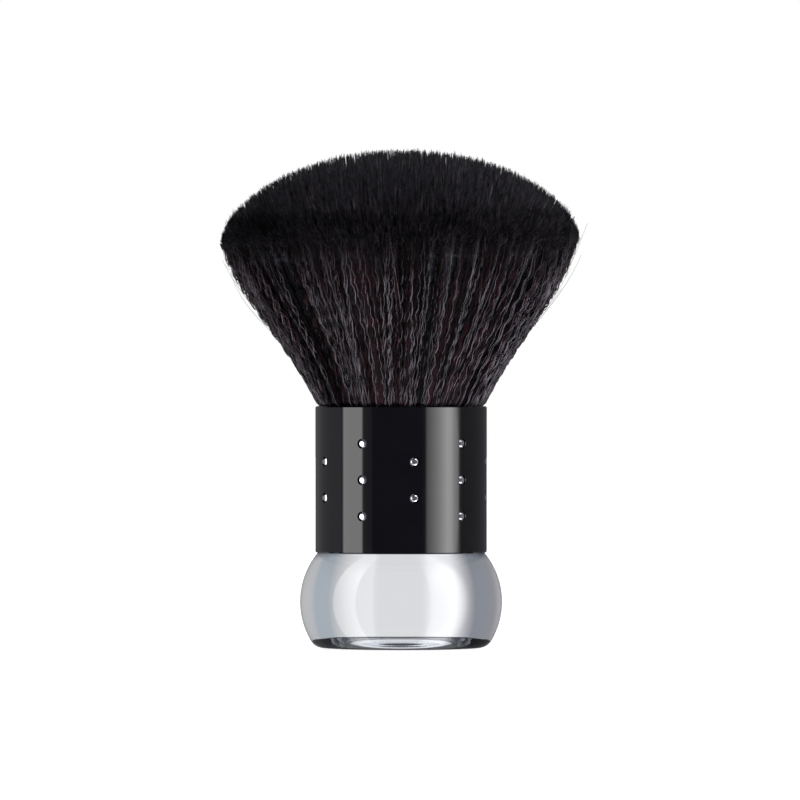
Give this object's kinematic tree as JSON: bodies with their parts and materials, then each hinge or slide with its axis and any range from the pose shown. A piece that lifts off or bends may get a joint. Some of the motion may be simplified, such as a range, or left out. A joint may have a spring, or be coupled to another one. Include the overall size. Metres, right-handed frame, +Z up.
{
  "type": "nail dusting brush",
  "caption": "Short nail dusting brush: flared black hair head in a glossy black sleeve set with crystals, on a clear acrylic knob with a ring foot.",
  "frame": {"origin": "middle of the ring foot, on the surface the brush stands on", "axes": "+Z up the brush's axis, from the knob to the hair; -Y is the front"},
  "size_m": [0.0586, 0.0586, 0.0811],
  "materials": {
    "clear_acrylic": "polished",
    "dark_adhesive": "gloss",
    "black_abs": "polished",
    "drawn_aluminium": "satin",
    "casting_resin": "gloss",
    "binding_cord": "matte",
    "synthetic_hair": "satin",
    "foiled_crystal": "polished"
  },
  "bodies": {
    "root": {"knob": "clear_acrylic", "tenon_glue": "dark_adhesive", "sleeve": "black_abs", "ferrule_cup": "drawn_aluminium", "root_resin": "casting_resin", "root_binding": "binding_cord", "hair_head": "synthetic_hair", "crystal_glue": "dark_adhesive", "crystal_01": "foiled_crystal", "crystal_02": "foiled_crystal", "crystal_03": "foiled_crystal", "crystal_04": "foiled_crystal", "crystal_05": "foiled_crystal", "crystal_06": "foiled_crystal", "crystal_07": "foiled_crystal", "crystal_08": "foiled_crystal", "crystal_09": "foiled_crystal", "crystal_10": "foiled_crystal", "crystal_11": "foiled_crystal", "crystal_12": "foiled_crystal", "crystal_13": "foiled_crystal", "crystal_14": "foiled_crystal", "crystal_15": "foiled_crystal", "crystal_16": "foiled_crystal", "crystal_17": "foiled_crystal", "crystal_18": "foiled_crystal", "crystal_19": "foiled_crystal", "crystal_20": "foiled_crystal", "crystal_21": "foiled_crystal", "crystal_22": "foiled_crystal", "crystal_23": "foiled_crystal", "crystal_24": "foiled_crystal", "crystal_25": "foiled_crystal"}
  },
  "joints": []
}
